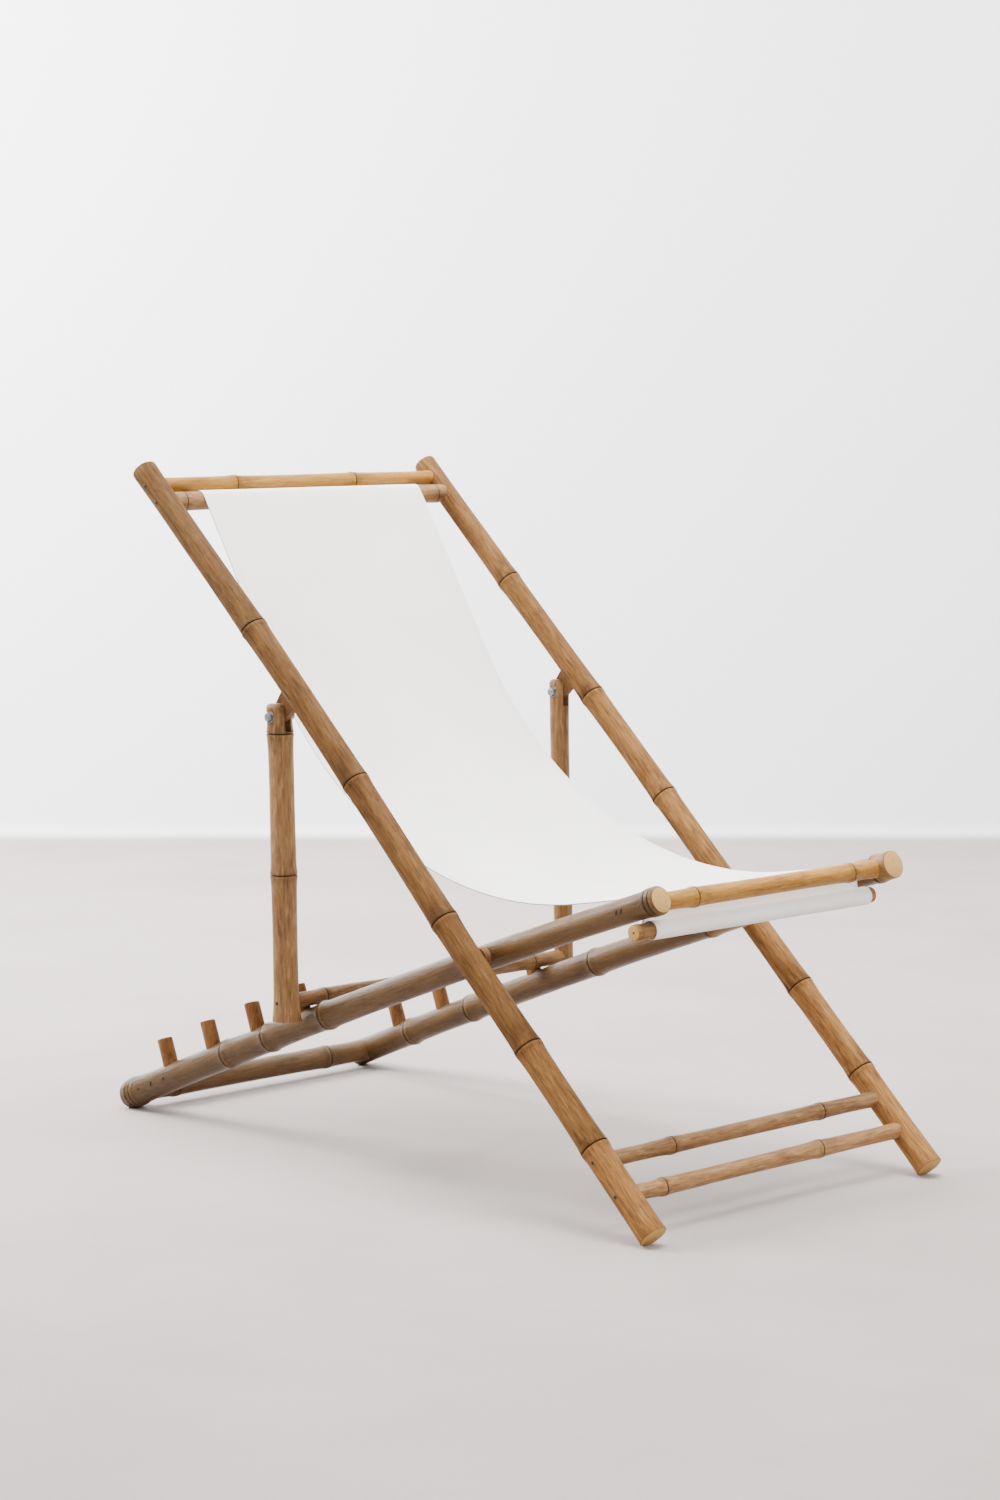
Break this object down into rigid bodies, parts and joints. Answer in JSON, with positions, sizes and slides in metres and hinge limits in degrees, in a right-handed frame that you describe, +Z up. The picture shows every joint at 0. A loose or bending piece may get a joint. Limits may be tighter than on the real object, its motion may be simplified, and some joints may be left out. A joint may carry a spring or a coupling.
{
  "type": "folding recliner",
  "caption": "Folding bamboo recliner: crossed pole frames on pivot bolts, a hinged prop on a row of recline pegs, and a hung canvas sling held by dowels in sleeves.",
  "frame": {"origin": "on the floor, under the middle of the box round the whole chair", "axes": "+Z up, the sitter faces -Y, +X is the sitter's left"},
  "size_m": [0.5908, 1.1435, 0.9681],
  "materials": {
    "peeled_bamboo": "matt, peeled, long fibre streaks",
    "smooth_bamboo": "smooth with a soft sheen",
    "thin_bamboo": "satin",
    "yellow_bamboo": "satin, yellower culms",
    "peg_wood": "satin, orange brown",
    "pith_dowel": "peeled stick",
    "spacer_wood": "turned washer of hardwood",
    "canvas": "plain off-white cotton canvas",
    "steel": "dull steel"
  },
  "bodies": {
    "seat_frame": {"front_rail": "yellow_bamboo", "front_sling_dowel": "pith_dowel", "front_sling_rail": "thin_bamboo", "rear_rail": "smooth_bamboo", "recline_pegs_left": "peg_wood", "recline_pegs_right": "peg_wood", "seat_pole_left": "smooth_bamboo", "seat_pole_right": "smooth_bamboo", "sling": "canvas"},
    "back_frame": {"hinge_tongue_left": "peg_wood", "hinge_tongue_right": "peg_wood", "long_pole_left": "peeled_bamboo", "long_pole_right": "peeled_bamboo", "lower_foot_rung": "thin_bamboo", "pivot_bolts": "steel", "pivot_spacers": "spacer_wood", "top_rail": "yellow_bamboo", "upper_foot_rung": "thin_bamboo", "upper_sling_dowel": "pith_dowel", "upper_sling_rail": "thin_bamboo"},
    "prop_frame": {"prop_crossbar": "thin_bamboo", "prop_hinge_bolts": "steel", "prop_hinge_nuts": "steel", "prop_strut_left": "thin_bamboo", "prop_strut_right": "thin_bamboo"}
  },
  "joints": [
    {"name": "frame_fold", "type": "hinge", "parent": "seat_frame", "child": "back_frame", "pos_m": [0, -0.22232, 0.32512], "axis": [1, 0, 0], "range_deg": [0, 105], "deforming": ["sling"]},
    {"name": "prop_fold", "type": "hinge", "parent": "back_frame", "child": "prop_frame", "pos_m": [0, 0.15969, 0.62005], "axis": [1, 0, 0], "range_deg": [-45.6, 0]}
  ],
  "couplings": [
    {"joint": "prop_fold", "follows": "frame_fold", "ratio": -0.434}
  ]
}
